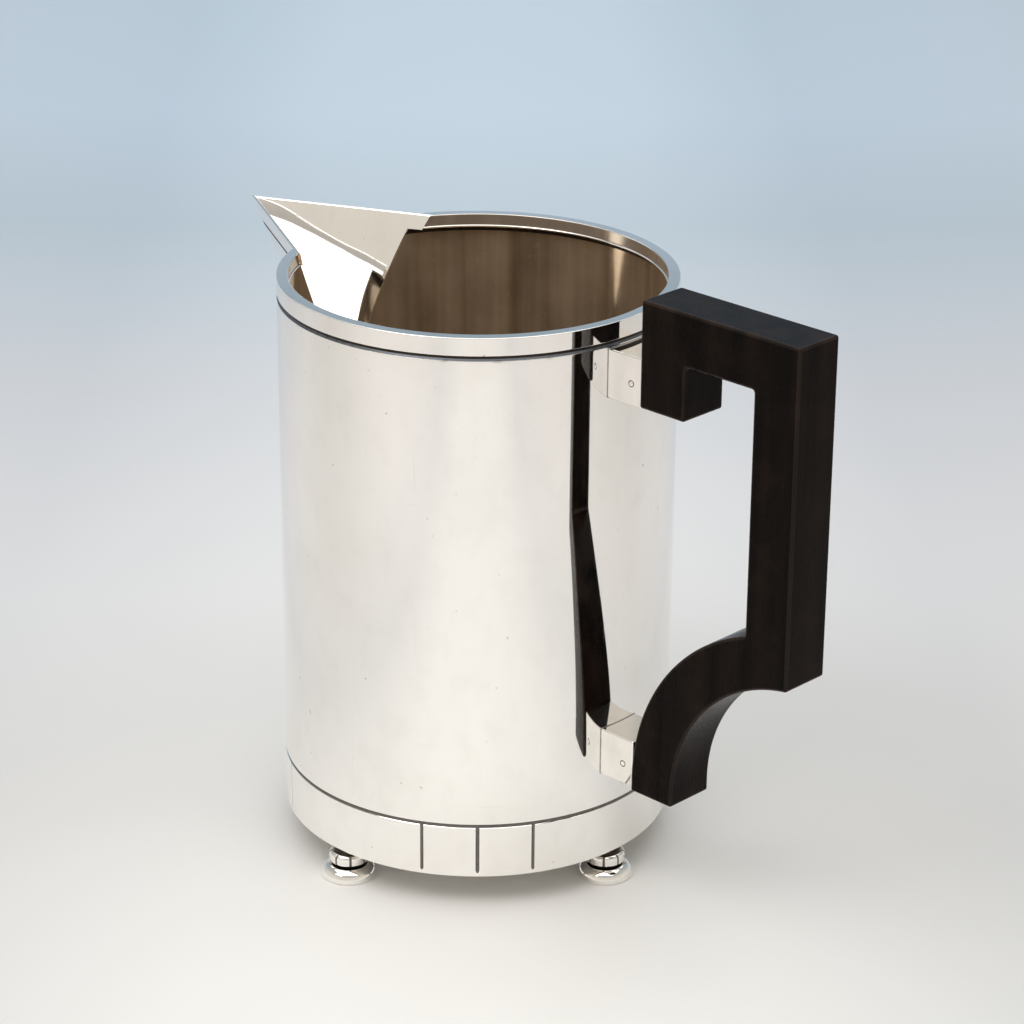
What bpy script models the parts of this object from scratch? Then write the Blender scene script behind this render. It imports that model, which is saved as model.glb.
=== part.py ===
"""Silver water pitcher with a square-sectioned ebony handle, as separate pieces.

A straight silver cylinder stands on four small turned feet. A flat rim band is soldered on its
top edge, and two flat triangular plates, meeting on a slanting keel, make the spout. Two square
silver sockets hold the tenons of the handle, each with a cross pin.

Units are metres. +Z is up, the handle points to +X and the spout to -X. Z = 0 is the surface the
feet stand on, and the origin is the bottom centre of the whole object's box. The pieces are
modelled around the cylinder's own axis, which the empty "pitcher_axis" places.
"""

import math

import bmesh
import bpy
from mathutils import Vector

# ---------------------------------------------------------------- driving dimensions
GAP = 0.0003                  # clearance left between neighbouring pieces

BODY_RADIUS = 0.0600          # outside of the cylinder
WALL = 0.0015                 # thickness of the cylinder's wall
RIM_HEIGHT = 0.1810           # top of the rim band above the floor
BODY_BOTTOM = 0.0098          # lower edge of the cylinder above the floor
BASE_THICKNESS = 0.0015       # soldered-in bottom disc

RIM_WIDTH = 0.0035            # flat width of the rim band, seen from above
RIM_DEPTH_INSIDE = 0.0042     # height of the band seen from inside
RIM_DEPTH_OUTSIDE = 0.0054    # height of the band seen from outside
GROOVE_HEIGHT = 0.0015        # groove between the band and the wall
GROOVE_DEPTH = 0.0005

BASE_LINE_BELOW_RIM = 0.1542  # engraved line round the foot of the cylinder
BASE_LINE_HEIGHT = 0.0011
BASE_LINE_DEPTH = 0.0004
FLUTE_ANGLE = math.radians(16.2)   # step between the upright engraved lines
FLUTE_GROUPS = 4              # groups of three lines, between the feet
FLUTES_PER_GROUP = 3
FLUTE_WIDTH = 0.0010
FLUTE_END_ABOVE_EDGE = 0.0010

SPOUT_TIP_REACH = 0.0998      # inside corner of the spout's tip, out from the axis
SPOUT_TIP_CUT = 0.1013        # the outer corner is filed flat here
SPOUT_TIP_RISE = 0.0014       # tip above the rim
SPOUT_ROOT_RISE = 0.0006      # plates' top edge above the rim where they meet the wall
SPOUT_ROOT_ANGLE = math.radians(23.9)  # where the plates meet the wall, each side of -X
SPOUT_KEEL_DEPTH = 0.0521     # keel meets the wall this far below the rim
PLATE_THICKNESS = 0.0010
PLATE_REACH = 0.064           # length of a plate's top edge before it is trimmed
KEEL_OVERRUN = 0.15           # share of the keel that a plate runs on, inside the wall

SOCKET_SIZE = 0.0150          # square sockets, outside
SOCKET_WALL = 0.0011
SOCKET_END = 0.0723           # open end, out from the axis
SOCKET_FLOOR = 0.0632         # closed end of the hollow
SOCKET_ROOT = 0.0560          # inside the wall, before its inner end is cut to the wall's curve
UPPER_SOCKET_Z = RIM_HEIGHT - 0.0148
LOWER_SOCKET_Z = RIM_HEIGHT - 0.1353
PIN_X = 0.0686
PIN_DROP = 0.0009             # pins sit this far below the middle of their sockets
PIN_RADIUS = 0.0009
PIN_DOME = 0.0002

HANDLE_WIDTH = 0.0168         # along Y
HANDLE_BAR = 0.0160           # thickness of the top arm and of the lower foot
HANDLE_HOOK = 0.0168          # thickness of the hook that holds the upper tenon
HANDLE_FACE = SOCKET_END + GAP
HANDLE_OUT = 0.1302           # outer face of the grip
HANDLE_TOP = RIM_HEIGHT + 0.0106
HOOK_BOTTOM = RIM_HEIGHT - 0.0218
GRIP_INNER = 0.1144
SWEEP_X = HANDLE_FACE + 0.0640     # centre of the lower quarter sweep
SWEEP_Z = RIM_HEIGHT - 0.1395
SWEEP_OUTER = 0.0640
SWEEP_INNER = 0.0480
HANDLE_BOTTOM = RIM_HEIGHT - 0.1435
HANDLE_EDGE = 0.0007          # rounding of the handle's edges
TENON_SIZE = SOCKET_SIZE - 2 * (SOCKET_WALL + GAP)
TENON_TIP = SOCKET_FLOOR + 2 * GAP

FOOT_CIRCLE = 0.0554          # feet's centres, out from the axis
FOOT_COUNT = 4
FOOT_BELL_RADIUS = 0.0085
FOOT_BELL_NECK = 0.0050
FOOT_BELL_TOP = 0.0042
FOOT_BELL_EDGE = 0.0008       # height of the widest point of its rounded edge
FOOT_DRUM_RADIUS = 0.0061
FOOT_DRUM_BOTTOM = 0.0050
FOOT_DRUM_TOP = 0.0083
FOOT_DRUM_SHOULDER = 0.0013   # rounding of its upper edge
FOOT_DRUM_EDGE = 0.0005       # rounding of its lower edge
FOOT_STEM_FLANGE = 0.0046
FOOT_STEM_RADIUS = 0.0016
FOOT_STEM_TIP = 0.0016
FOOT_LINES = 8                # upright engraved lines round each drum
FOOT_LINE_WIDTH = 0.0006
FOOT_LINE_DEPTH = 0.0003
FOOT_TURNS = (-6, 0, 0, 6)    # degrees each drum is turned from square

OVERCUT = 0.002               # how far cutters stand clear of what they cut
BODY_SEGMENTS = 96
FOOT_SEGMENTS = 24
PIN_SEGMENTS = 12
ARC_STEPS = 14                # along a quarter sweep
ROUND_STEPS = 3               # round a small shoulder
SHARP_ANGLE = math.radians(32)

# the box's X middle lies between the handle's outer face and the filed tip of the spout
AXIS_X = (SPOUT_TIP_CUT - HANDLE_OUT) / 2

# name: (base colour, metallic, roughness)
FINISHES = {
    "silver": ((0.90, 0.885, 0.86), 1.0, 0.08),
    "silver_inside": ((0.80, 0.77, 0.72), 1.0, 0.28),
    "ebony": ((0.012, 0.010, 0.010), 0.0, 0.38),
}


# ---------------------------------------------------------------- general helpers
def clear_scene():
    for obj in list(bpy.data.objects):
        bpy.data.objects.remove(obj, do_unlink=True)


def make_material(name, finish):
    colour, metallic, roughness = FINISHES[finish]
    material = bpy.data.materials.new(name)
    material.use_nodes = True
    shader = material.node_tree.nodes["Principled BSDF"]
    shader.inputs["Base Color"].default_value = (*colour, 1.0)
    shader.inputs["Metallic"].default_value = metallic
    shader.inputs["Roughness"].default_value = roughness
    return material


def add_object(name, mesh_builder, parent, finish=None, smooth=False):
    """Turn a bmesh into a named object under the parent empty."""
    mesh = bpy.data.meshes.new(name)
    bmesh.ops.recalc_face_normals(mesh_builder, faces=mesh_builder.faces)
    mesh_builder.to_mesh(mesh)
    mesh_builder.free()
    obj = bpy.data.objects.new(name, mesh)
    bpy.context.collection.objects.link(obj)
    obj.parent = parent
    if smooth:
        mesh.shade_smooth()
        mesh.set_sharp_from_angle(angle=SHARP_ANGLE)
    if finish:
        mesh.materials.append(make_material(name + "_" + finish, finish))
    return obj


def as_cutter(obj):
    obj.hide_render = True
    obj.display_type = "WIRE"
    return obj


def cut(obj, cutter, operation="DIFFERENCE"):
    modifier = obj.modifiers.new(operation.lower() + "_" + cutter.name, "BOOLEAN")
    modifier.operation = operation
    modifier.object = cutter
    modifier.solver = "EXACT"


def turned(profile, segments):
    """Spin a closed (radius, height) outline round Z."""
    builder = bmesh.new()
    verts = [builder.verts.new((radius, 0.0, height)) for radius, height in profile]
    edges = [builder.edges.new((a, b)) for a, b in zip(verts, verts[1:] + verts[:1])]
    bmesh.ops.spin(builder, geom=verts + edges, cent=(0, 0, 0), axis=(0, 0, 1),
                   angle=math.tau, steps=segments, use_merge=True)
    bmesh.ops.remove_doubles(builder, verts=builder.verts, dist=1e-7)
    bmesh.ops.dissolve_degenerate(builder, edges=builder.edges, dist=1e-7)
    return builder


def swept(outline, direction):
    """A prism: a closed outline of points moved along a direction."""
    builder = bmesh.new()
    face = builder.faces.new([builder.verts.new(point) for point in outline])
    extruded = bmesh.ops.extrude_face_region(builder, geom=[face])["geom"]
    moved = [item for item in extruded if isinstance(item, bmesh.types.BMVert)]
    bmesh.ops.translate(builder, verts=moved, vec=direction)
    return builder


def block(low, high):
    """An axis-aligned box between two corners."""
    outline = [(low[0], low[1], low[2]), (high[0], low[1], low[2]),
               (high[0], high[1], low[2]), (low[0], high[1], low[2])]
    return swept(outline, (0, 0, high[2] - low[2]))


def engraving_blades(angles, radius, width, depth, low, high):
    """Upright V blades round Z: each cuts a line of this width and depth into a round surface."""
    builder = bmesh.new()
    for angle in angles:
        out = Vector((math.cos(angle), math.sin(angle), 0))
        side = Vector((-out.y, out.x, 0)) * width
        root = out * (radius - depth)
        clear = out * (radius + depth)
        corners = [root, clear - side, clear + side]
        lower = [builder.verts.new((p.x, p.y, low)) for p in corners]
        upper = [builder.verts.new((p.x, p.y, high)) for p in corners]
        builder.faces.new(lower)
        builder.faces.new(upper)
        for i in range(len(corners)):
            j = (i + 1) % len(corners)
            builder.faces.new((lower[i], lower[j], upper[j], upper[i]))
    return builder


def arc(centre_x, centre_z, radius, start, end, steps=ARC_STEPS):
    """Points on a circular arc in the XZ plane, both ends included."""
    angles = [start + (end - start) * i / steps for i in range(steps + 1)]
    return [(centre_x + radius * math.cos(a), centre_z + radius * math.sin(a)) for a in angles]


# ---------------------------------------------------------------- cylinder, rim and base
def cavity_profile():
    """The hollow inside the pitcher: narrower inside the rim band."""
    inner = BODY_RADIUS - WALL
    band = BODY_RADIUS - RIM_WIDTH
    band_bottom = RIM_HEIGHT - RIM_DEPTH_INSIDE
    above = HANDLE_TOP + OVERCUT
    return [(0, above), (0, BODY_BOTTOM), (inner, BODY_BOTTOM), (inner, band_bottom),
            (band, band_bottom), (band, above)]


def wall_profile():
    """Section of the cylinder's wall, with the rebate under the rim and the engraved line."""
    inner = BODY_RADIUS - WALL
    shoulder = RIM_HEIGHT - RIM_DEPTH_OUTSIDE
    line = RIM_HEIGHT - BASE_LINE_BELOW_RIM
    half = BASE_LINE_HEIGHT / 2
    rebate = BODY_RADIUS - GROOVE_DEPTH
    return [
        (inner, BODY_BOTTOM),
        (BODY_RADIUS, BODY_BOTTOM),
        (BODY_RADIUS, line - half),
        (BODY_RADIUS - BASE_LINE_DEPTH, line),
        (BODY_RADIUS, line + half),
        (BODY_RADIUS, shoulder - GROOVE_HEIGHT),
        (rebate, shoulder - GROOVE_HEIGHT),
        (rebate, shoulder - GAP),
        (inner, shoulder - GAP),
    ]


def rim_profile():
    """Section of the rim band: an L whose outer leg runs down to the groove."""
    inner = BODY_RADIUS - WALL
    top = RIM_HEIGHT
    return [
        (BODY_RADIUS - RIM_WIDTH, top),
        (BODY_RADIUS - RIM_WIDTH, top - RIM_DEPTH_INSIDE),
        (inner, top - RIM_DEPTH_INSIDE),
        (inner, top - RIM_DEPTH_OUTSIDE),
        (BODY_RADIUS, top - RIM_DEPTH_OUTSIDE),
        (BODY_RADIUS, top),
    ]


def flute_cutter(parent):
    """Twelve upright blades, in groups of three between the feet, for the foot of the wall."""
    angles = []
    for group in range(FLUTE_GROUPS):
        centre = math.tau * (group + 0.5) / FLUTE_GROUPS
        angles += [centre + (line - (FLUTES_PER_GROUP - 1) / 2) * FLUTE_ANGLE
                   for line in range(FLUTES_PER_GROUP)]
    low = BODY_BOTTOM + FLUTE_END_ABOVE_EDGE
    high = RIM_HEIGHT - BASE_LINE_BELOW_RIM
    builder = engraving_blades(angles, BODY_RADIUS, FLUTE_WIDTH, BASE_LINE_DEPTH, low, high)
    return as_cutter(add_object("flute_cutter", builder, parent))


def make_body(parent, notch):
    shell = add_object("body_shell", turned(wall_profile(), BODY_SEGMENTS), parent, "silver", True)
    cut(shell, notch)
    cut(shell, flute_cutter(parent))
    collar = add_object("rim_collar", turned(rim_profile(), BODY_SEGMENTS), parent, "silver", True)
    cut(collar, notch)
    radius = BODY_RADIUS - WALL - GAP
    disc = [(0, BODY_BOTTOM), (radius, BODY_BOTTOM), (radius, BODY_BOTTOM + BASE_THICKNESS),
            (0, BODY_BOTTOM + BASE_THICKNESS)]
    add_object("base_plate", turned(disc, BODY_SEGMENTS), parent, "silver_inside", True)


# ---------------------------------------------------------------- spout
def spout_lines():
    """Inside corner of the tip, the keel's run down to the wall, and a top edge's heading."""
    tip = Vector((-SPOUT_TIP_REACH, 0, RIM_HEIGHT + SPOUT_TIP_RISE))
    keel_foot = Vector((-BODY_RADIUS, 0, RIM_HEIGHT - SPOUT_KEEL_DEPTH))
    root = Vector((-BODY_RADIUS * math.cos(SPOUT_ROOT_ANGLE),
                   BODY_RADIUS * math.sin(SPOUT_ROOT_ANGLE),
                   RIM_HEIGHT + SPOUT_ROOT_RISE))
    return tip, keel_foot - tip, (root - tip).normalized()


def outward(heading):
    """Level direction pointing out of the plate on the +Y side."""
    return Vector((-heading.y, heading.x, 0)).normalized()


def corner_at(tip, heading, offset):
    """Where the two plates' faces, moved outward by an offset, meet above the keel."""
    return tip + Vector((-offset / abs(outward(heading).x), 0, 0))


def mirrored(points):
    return [Vector((p.x, -p.y, p.z)) for p in points]


def plate_outline(side):
    """Top face of one plate: mitred on the middle plane, with the filed tip."""
    tip, _, heading = spout_lines()
    out = outward(heading)
    far_in = tip + heading * PLATE_REACH
    far_out = far_in + out * PLATE_THICKNESS
    outer_corner = corner_at(tip, heading, PLATE_THICKNESS)
    filed = -SPOUT_TIP_CUT - outer_corner.x
    file_mark = outer_corner + heading * (filed / heading.x)
    nose = Vector((-SPOUT_TIP_CUT, 0, tip.z))
    points = [tip, far_in, far_out, file_mark, nose]
    shifted = [p + Vector((0, GAP / 2, 0)) for p in points]
    return shifted if side > 0 else mirrored(shifted)


def plate_line_outline(side, start_drop):
    """Outline that engraves a level line on a plate's outer face, a little below its top."""
    tip, keel, heading = spout_lines()
    start = tip + keel * (start_drop / -keel.z)
    bottom = corner_at(start, heading, PLATE_THICKNESS - GROOVE_DEPTH / 2)
    clear = corner_at(start, heading, PLATE_THICKNESS * 2)
    run = heading * PLATE_REACH
    points = [clear, bottom, bottom + run, clear + run]
    return points if side > 0 else mirrored(points)


def notch_cutter(parent):
    """Wedge between the plates' outer faces, with clearance, that opens the wall and the rim."""
    tip, keel, heading = spout_lines()
    corner = corner_at(tip, heading, PLATE_THICKNESS + GAP)
    run = heading * PLATE_REACH
    lift = -keel * KEEL_OVERRUN
    outline = [corner + lift, corner + run + lift, corner + mirrored([run])[0] + lift]
    return as_cutter(add_object("notch_cutter", swept(outline, keel * (1 + 2 * KEEL_OVERRUN)), parent))


def make_spout(parent):
    _, keel, _ = spout_lines()
    cavity = as_cutter(add_object("cavity_cutter", turned(cavity_profile(), BODY_SEGMENTS), parent))
    line_drop = SPOUT_TIP_RISE + RIM_DEPTH_OUTSIDE
    for name, side in (("left", -1), ("right", 1)):
        plate = add_object("spout_plate_" + name, swept(plate_outline(side), keel * (1 + KEEL_OVERRUN)),
                           parent, "silver")
        cut(plate, cavity)
        line = swept(plate_line_outline(side, line_drop), keel * (GROOVE_HEIGHT / -keel.z))
        cut(plate, as_cutter(add_object("spout_line_cutter_" + name, line, parent)))


# ---------------------------------------------------------------- sockets, handle and pins
def rod_along_y(name, x, z, radius, half_length, dome, parent):
    """A round rod across the middle plane, with slightly domed ends."""
    shoulder, rise = radius * 0.7, dome * 0.7
    profile = [(0, -half_length - dome), (shoulder, -half_length - rise), (radius, -half_length),
               (radius, half_length), (shoulder, half_length + rise), (0, half_length + dome)]
    obj = add_object(name, turned(profile, PIN_SEGMENTS), parent, None, True)
    obj.location = (x, 0, z)
    obj.rotation_euler = (math.radians(90), 0, 0)
    return obj


def make_sockets(parent):
    half = SOCKET_SIZE / 2
    hollow = half - SOCKET_WALL
    barrel = [(0, 0), (BODY_RADIUS + GAP, 0), (BODY_RADIUS + GAP, RIM_HEIGHT), (0, RIM_HEIGHT)]
    wall_cutter = as_cutter(add_object("wall_cutter", turned(barrel, BODY_SEGMENTS), parent))
    holes = {}
    for place, z in (("upper", UPPER_SOCKET_Z), ("lower", LOWER_SOCKET_Z)):
        box = block((SOCKET_ROOT, -half, z - half), (SOCKET_END, half, z + half))
        socket = add_object(place + "_socket", box, parent, "silver")
        inside = block((SOCKET_FLOOR, -hollow, z - hollow), (SOCKET_END + OVERCUT, hollow, z + hollow))
        pin_z = z - PIN_DROP
        hole = rod_along_y(place + "_pin_hole", PIN_X, pin_z, PIN_RADIUS + GAP, half + OVERCUT, 0, parent)
        cut(socket, wall_cutter)
        cut(socket, as_cutter(add_object(place + "_hollow_cutter", inside, parent)))
        cut(socket, as_cutter(hole))
        pin = rod_along_y(place + "_pin", PIN_X, pin_z, PIN_RADIUS, half, PIN_DOME, parent)
        pin.data.materials.append(make_material(pin.name + "_silver", "silver"))
        holes[place] = hole
    return holes


def handle_outline():
    """Side view of the handle, counterclockwise from the hook's lower inner corner."""
    hook_in = HANDLE_FACE + HANDLE_HOOK
    foot_in = HANDLE_FACE + HANDLE_BAR
    arm_under = HANDLE_TOP - HANDLE_BAR
    outer_start = math.acos((GRIP_INNER - SWEEP_X) / SWEEP_OUTER)
    grip_foot = math.acos((HANDLE_OUT - SWEEP_X) / SWEEP_INNER)
    outline = [(HANDLE_FACE, HOOK_BOTTOM), (hook_in, HOOK_BOTTOM), (hook_in, arm_under),
               (GRIP_INNER, arm_under)]
    outline += arc(SWEEP_X, SWEEP_Z, SWEEP_OUTER, outer_start, math.pi)
    outline += [(HANDLE_FACE, HANDLE_BOTTOM), (foot_in, HANDLE_BOTTOM)]
    outline += arc(SWEEP_X, SWEEP_Z, SWEEP_INNER, math.pi, grip_foot)
    outline += [(HANDLE_OUT, HANDLE_TOP), (HANDLE_FACE, HANDLE_TOP)]
    return outline


def make_handle(parent, pin_holes):
    half = HANDLE_WIDTH / 2
    points = [Vector((x, -half, z)) for x, z in handle_outline()]
    handle = add_object("handle", swept(points, (0, HANDLE_WIDTH, 0)), parent, "ebony")
    rounding = handle.modifiers.new("edge_rounding", "BEVEL")
    rounding.width = HANDLE_EDGE
    rounding.segments = 1
    rounding.limit_method = "ANGLE"
    rounding.angle_limit = math.radians(40)
    tenon = TENON_SIZE / 2
    for place, z in (("upper", UPPER_SOCKET_Z), ("lower", LOWER_SOCKET_Z)):
        box = block((TENON_TIP, -tenon, z - tenon), (HANDLE_FACE + HANDLE_BAR / 2, tenon, z + tenon))
        cut(handle, as_cutter(add_object(place + "_tenon", box, parent)), "UNION")
        cut(handle, pin_holes[place])


# ---------------------------------------------------------------- feet
def bell_profile():
    """Low spreading foot: a quarter-ellipse shoulder over a short rounded edge."""
    reach = FOOT_BELL_RADIUS - FOOT_BELL_NECK
    edge = FOOT_BELL_EDGE
    drop = FOOT_BELL_TOP - edge
    bore = FOOT_STEM_RADIUS + GAP
    floor = FOOT_STEM_TIP - GAP
    outline = [(0, 0), (FOOT_BELL_RADIUS - edge * 0.7, 0), (FOOT_BELL_RADIUS - edge * 0.2, edge * 0.3)]
    for i in range(ROUND_STEPS + 2):
        angle = math.radians(90) * i / (ROUND_STEPS + 1)
        outline.append((FOOT_BELL_NECK + reach * math.cos(angle), edge + drop * math.sin(angle)))
    return outline + [(bore, FOOT_BELL_TOP), (bore, floor), (0, floor)]


def drum_profile():
    """Short barrel with a rounded shoulder, a slightly eased lower edge and a bore for the stem."""
    bore = FOOT_STEM_RADIUS + GAP
    edge, shoulder = FOOT_DRUM_EDGE, FOOT_DRUM_SHOULDER
    low = FOOT_DRUM_BOTTOM + edge
    high = FOOT_DRUM_TOP - shoulder
    outline = [(bore, FOOT_DRUM_BOTTOM)]
    outline += arc(FOOT_DRUM_RADIUS - edge, low, edge, -math.pi / 2, 0, ROUND_STEPS)
    outline += arc(FOOT_DRUM_RADIUS - shoulder, high, shoulder, 0, math.pi / 2, ROUND_STEPS)
    return outline + [(bore, FOOT_DRUM_TOP)]


def stem_profile():
    """Peg soldered under the cylinder, with a flange that the drum hangs from."""
    top = BODY_BOTTOM - GAP
    flange = FOOT_DRUM_TOP + GAP
    return [(0, FOOT_STEM_TIP), (FOOT_STEM_RADIUS, FOOT_STEM_TIP), (FOOT_STEM_RADIUS, flange),
            (FOOT_STEM_FLANGE, flange), (FOOT_STEM_FLANGE, top), (0, top)]


def drum_line_cutter(parent, place, turn, number):
    """Upright blades that engrave one drum."""
    angles = [turn + math.tau * line / FOOT_LINES for line in range(FOOT_LINES)]
    builder = engraving_blades(angles, FOOT_DRUM_RADIUS, FOOT_LINE_WIDTH, FOOT_LINE_DEPTH,
                               FOOT_DRUM_BOTTOM - GAP / 2, FOOT_DRUM_TOP + GAP / 2)
    cutter = as_cutter(add_object("drum_line_cutter_" + number, builder, parent))
    cutter.location = place
    return cutter


def make_feet(parent):
    for index in range(FOOT_COUNT):
        number = str(index + 1)
        angle = math.tau * index / FOOT_COUNT
        place = (FOOT_CIRCLE * math.cos(angle), FOOT_CIRCLE * math.sin(angle), 0)
        pieces = (("bell", bell_profile()), ("drum", drum_profile()), ("stem", stem_profile()))
        for kind, profile in pieces:
            piece = add_object("foot_" + kind + "_" + number, turned(profile, FOOT_SEGMENTS),
                               parent, "silver", True)
            piece.location = place
            if kind == "drum":
                cut(piece, drum_line_cutter(parent, place, math.radians(FOOT_TURNS[index]), number))


def main():
    clear_scene()
    axis = bpy.data.objects.new("pitcher_axis", None)
    bpy.context.collection.objects.link(axis)
    axis.location = (AXIS_X, 0, 0)
    make_body(axis, notch_cutter(axis))
    make_spout(axis)
    pin_holes = make_sockets(axis)
    make_handle(axis, pin_holes)
    make_feet(axis)


main()
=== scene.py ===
"""Looks for the silver water pitcher: fine meshes, silver and ebony, and a plain studio.

Every piece is rebuilt here as a fine mesh on the CAD piece's own dimensions, with the soldered
joints closed, and replaces that CAD node. Units are metres, in the frame of the CAD part.
"""
import math

import bmesh
import bpy
from mathutils import Matrix, Vector


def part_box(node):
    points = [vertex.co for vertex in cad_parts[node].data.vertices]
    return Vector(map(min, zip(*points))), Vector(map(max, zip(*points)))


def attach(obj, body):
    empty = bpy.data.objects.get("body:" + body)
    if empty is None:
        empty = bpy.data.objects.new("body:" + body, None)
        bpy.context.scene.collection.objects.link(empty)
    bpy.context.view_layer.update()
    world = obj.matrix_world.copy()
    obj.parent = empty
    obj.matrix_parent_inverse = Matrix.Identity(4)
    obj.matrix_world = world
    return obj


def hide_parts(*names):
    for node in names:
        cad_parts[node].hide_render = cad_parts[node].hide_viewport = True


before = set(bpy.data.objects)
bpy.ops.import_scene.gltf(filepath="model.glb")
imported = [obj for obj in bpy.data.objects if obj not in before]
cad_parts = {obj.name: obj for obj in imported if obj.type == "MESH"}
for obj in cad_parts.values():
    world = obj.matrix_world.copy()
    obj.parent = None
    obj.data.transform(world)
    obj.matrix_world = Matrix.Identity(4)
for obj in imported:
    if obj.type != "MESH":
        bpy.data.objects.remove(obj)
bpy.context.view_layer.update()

# ---------------------------------------------------------------- dimensions read from the frame
MM = 0.001
TINY = 1e-6                   # closer points are merged, such as the ring round a turned piece's axis
CAD_GAP = 0.3 * MM            # clearance between neighbouring CAD pieces, closed here

shell_low, shell_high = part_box("body_shell")
rim_low, rim_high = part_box("rim_collar")
base_low, base_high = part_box("base_plate")
handle_low, handle_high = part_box("handle")

AXIS_X = (shell_low.x + shell_high.x) / 2
BODY_RADIUS = (shell_high.y - shell_low.y) / 2
INNER_RADIUS = (base_high.y - base_low.y) / 2 + CAD_GAP
RIM_Z = rim_high.z
RIM_FOOT_Z = rim_low.z
BODY_FOOT_Z = shell_low.z

# ---------------------------------------------------------------- details of the fine meshes
RIM_WIDTH = 3.5 * MM
RIM_DEPTH_INSIDE = 4.2 * MM
RIM_BEAD = 0.38 * MM          # bead along the band's lower inner edge
EDGE_ROUND = 0.25 * MM
BASE_HOLLOW_BELOW = 0.20 * MM     # the base plate's faces are hollow by this much in the middle
BASE_HOLLOW_ABOVE = 0.08 * MM

GROOVE_HEIGHT = 1.5 * MM
GROOVE_DEPTH = 0.55 * MM
GROOVE_LIP = 0.12 * MM
SEAM_SHADE = 0.55 * MM        # painted shade on the wall under the collar's seam
LINE_Z = RIM_Z - 154.2 * MM   # engraved line round the foot of the wall
LINE_HALF = 0.66 * MM
LINE_DEPTH = 0.42 * MM
LINE_SECTION = (-1.0, -0.8, -0.5, -0.2, 0.2, 0.5, 0.8, 1.0)   # points across a line, in half widths
FLUTE_HALF = 0.58 * MM        # upright engraved lines, in groups of three
FLUTE_STEP = math.radians(16.2)
FLUTE_END = 1.0 * MM          # they stop this far above the wall's edge
FLUTE_TAPER = 1.2 * MM

SPOUT_TIP_REACH = 99.8 * MM   # inside corner of the tip, out from the axis
SPOUT_TIP_CUT = 101.3 * MM    # its outer corner is filed flat here
SPOUT_TIP_RISE = 1.4 * MM     # tip above the rim
SPOUT_ROOT_RISE = 0.6 * MM    # plates' top edges above the rim, where they meet the wall
SPOUT_ROOT_ANGLE = math.radians(23.9)     # where they meet it, to each side of -X
SPOUT_KEEL_DEPTH = 52.1 * MM  # the keel meets the wall this far below the rim
PLATE_THICKNESS = 1.0 * MM
PLATE_SINK = 0.08 * MM        # plates stop this far inside the metal that they are soldered to
PLATE_FILLET = 1.4 * MM       # soldered corner that carries a plate's face on past the band
PLATE_LEAN = 0.42 * MM        # top edges lean this far into the channel
PLATE_LEAN_DEPTH = 9.5 * MM
PLATE_LEAN_STEPS = 16
PLATE_RIPPLE = 0.008 * MM
RIPPLE_SHORT, RIPPLE_LONG = 2.6 * MM, 7 * MM
PLATE_LOWER_STEPS = 30        # sections between the engraved line and the keel's foot
KEEL_OVERRUN = 1.2            # plates run on at most to this share of the keel
NOTCH_BEHIND = 2 * PLATE_SINK     # the wall's opening ends this far behind the plates' inner faces

SOCKET_EDGE = 0.45 * MM
SOCKET_LIP = 0.35 * MM
SOCKET_SINK = 1.0 * MM        # the sockets' inner ends lie this far inside the wall
SOLDER_PROUD = 0.13 * MM      # solder line round the sockets' roots
SOLDER_WIDTH = 0.32 * MM
PIN_SHADE_RING = 0.24 * MM          # ring of painted shade round a pin's head
PIN_EASE = 0.10 * MM          # the heads' radius is this much less than the CAD pins'
PIN_COLUMNS = 40

HANDLE_EDGE = 0.85 * MM
HANDLE_BAR = 16.0 * MM
HANDLE_HOOK = 16.8 * MM
HANDLE_GRIP = 15.8 * MM
HOOK_BELOW_RIM = 21.8 * MM
SWEEP_BELOW_RIM = 139.5 * MM  # centre of the two arcs of the handle's lower sweep
SWEEP_OUTER = 64 * MM
SWEEP_INNER = 48 * MM
SWEEP_STEPS = 64

FOOT_NECK = 5.0 * MM
BELL_EDGE = 0.8 * MM          # height of the bell's widest point
BELL_ROUND = 0.45 * MM
DRUM_SHOULDER = 1.3 * MM
DRUM_EDGE = 0.5 * MM
DRUM_LINES = 8
DRUM_LINE_HALF = 0.36 * MM
DRUM_LINE_DEPTH = 0.30 * MM
DRUM_TURNS = (-6, 0, 0, 6)    # degrees each foot's drum is turned from square
STEM_RADIUS = 1.6 * MM
STEM_FLANGE = 4.6 * MM
STEM_ROUND = 0.3 * MM

WALL_COLUMNS = 360
BASE_COLUMNS = 180


# ---------------------------------------------------------------- mesh helpers
def smooth_line(points, steps):
    """Straight runs between points, each divided into a number of steps."""
    line = []
    for (a, b), count in zip(zip(points, points[1:]), steps):
        line += [tuple(p + (q - p) * i / count for p, q in zip(a, b)) for i in range(count)]
    return line + [tuple(points[-1])]


def quarter(centre_r, centre_z, radius, start, end, steps=4):
    """Points of a circular arc, as (radius, height), both ends included."""
    return [(centre_r + radius * math.cos(math.radians(start + (end - start) * i / steps)),
             centre_z + radius * math.sin(math.radians(start + (end - start) * i / steps)))
            for i in range(steps + 1)]


def loft(rings, close_rings=True, close_loft=False, caps=False):
    """Join rings of points with quads. Rings may close on themselves and on each other."""
    builder = bmesh.new()
    rows = [[builder.verts.new(p) for p in ring] for ring in rings]
    pairs = list(zip(rows, rows[1:]))
    if close_loft:
        pairs.append((rows[-1], rows[0]))
    for low, high in pairs:
        count = len(low) if close_rings else len(low) - 1
        for i in range(count):
            j = (i + 1) % len(low)
            builder.faces.new((low[i], low[j], high[j], high[i]))
    if caps:
        builder.faces.new(rows[0])
        builder.faces.new(rows[-1])
    return builder


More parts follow.
